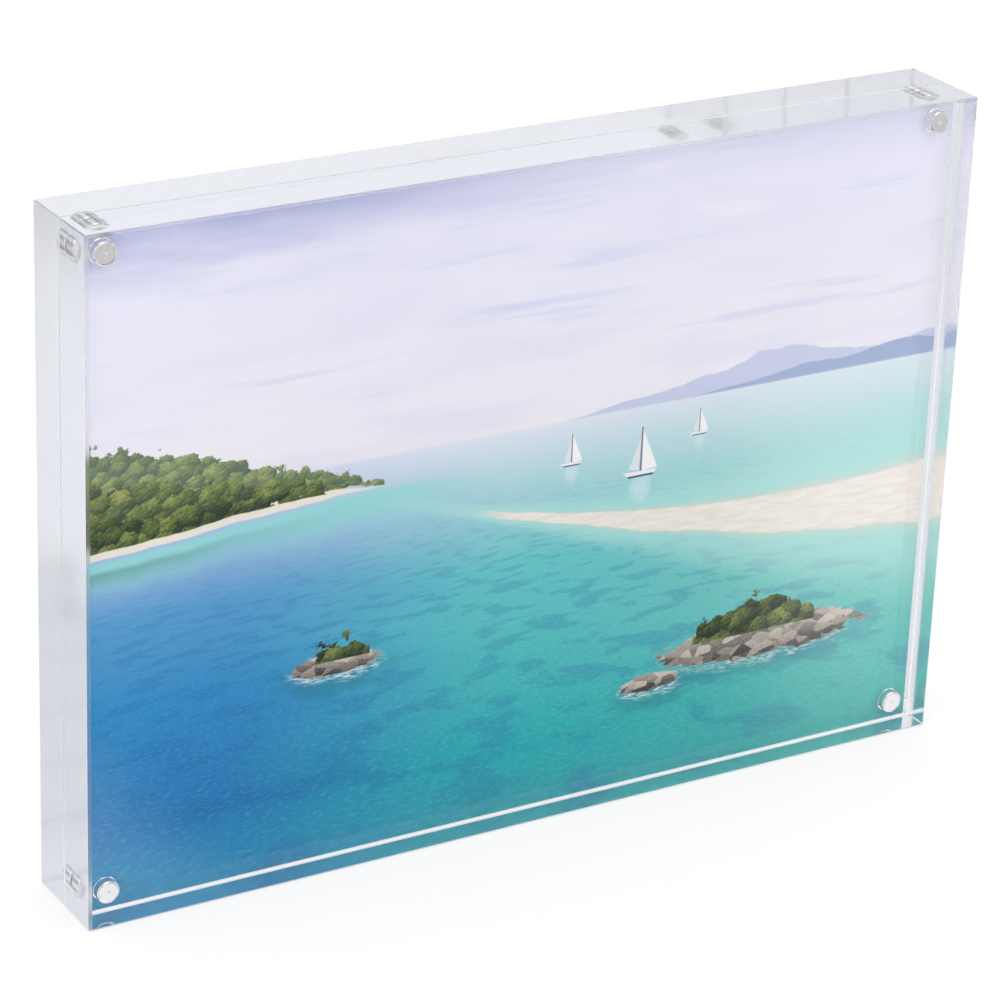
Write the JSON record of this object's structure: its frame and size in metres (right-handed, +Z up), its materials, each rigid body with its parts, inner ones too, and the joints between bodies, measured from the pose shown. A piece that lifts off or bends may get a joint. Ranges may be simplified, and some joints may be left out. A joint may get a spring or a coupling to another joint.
{
  "type": "acrylic block frame",
  "caption": "Free-standing photo frame: thick clear acrylic blocks with polished bevelled edges hold a paper print between them, drawn together by magnets sunk in their corners.",
  "frame": {"origin": "middle of the underside, on the surface that the frame stands on", "axes": "+X along the width to the viewer's right, +Y from the front face to the back, +Z up"},
  "size_m": [0.1778, 0.0204, 0.127],
  "materials": {
    "clear_acrylic": "polished",
    "photo_paper": "satin",
    "nickel_plate": "satin"
  },
  "bodies": {
    "rear": {"rear_block": "clear_acrylic", "rear_magnet_top_left": "nickel_plate", "rear_magnet_top_right": "nickel_plate", "rear_magnet_bottom_left": "nickel_plate", "rear_magnet_bottom_right": "nickel_plate"},
    "front": {"front_block": "clear_acrylic", "front_magnet_top_left": "nickel_plate", "front_magnet_top_right": "nickel_plate", "front_magnet_bottom_left": "nickel_plate", "front_magnet_bottom_right": "nickel_plate"},
    "print": {"photo_print": "photo_paper"}
  },
  "joints": [
    {"name": "front_block_pull", "type": "slide", "parent": "rear", "child": "front", "axis": [0, -1, 0], "range_m": [0, 0.06]},
    {"name": "print_lift", "type": "slide", "parent": "rear", "child": "print", "axis": [0, 0, 1], "range_m": [0, 0.13]}
  ]
}
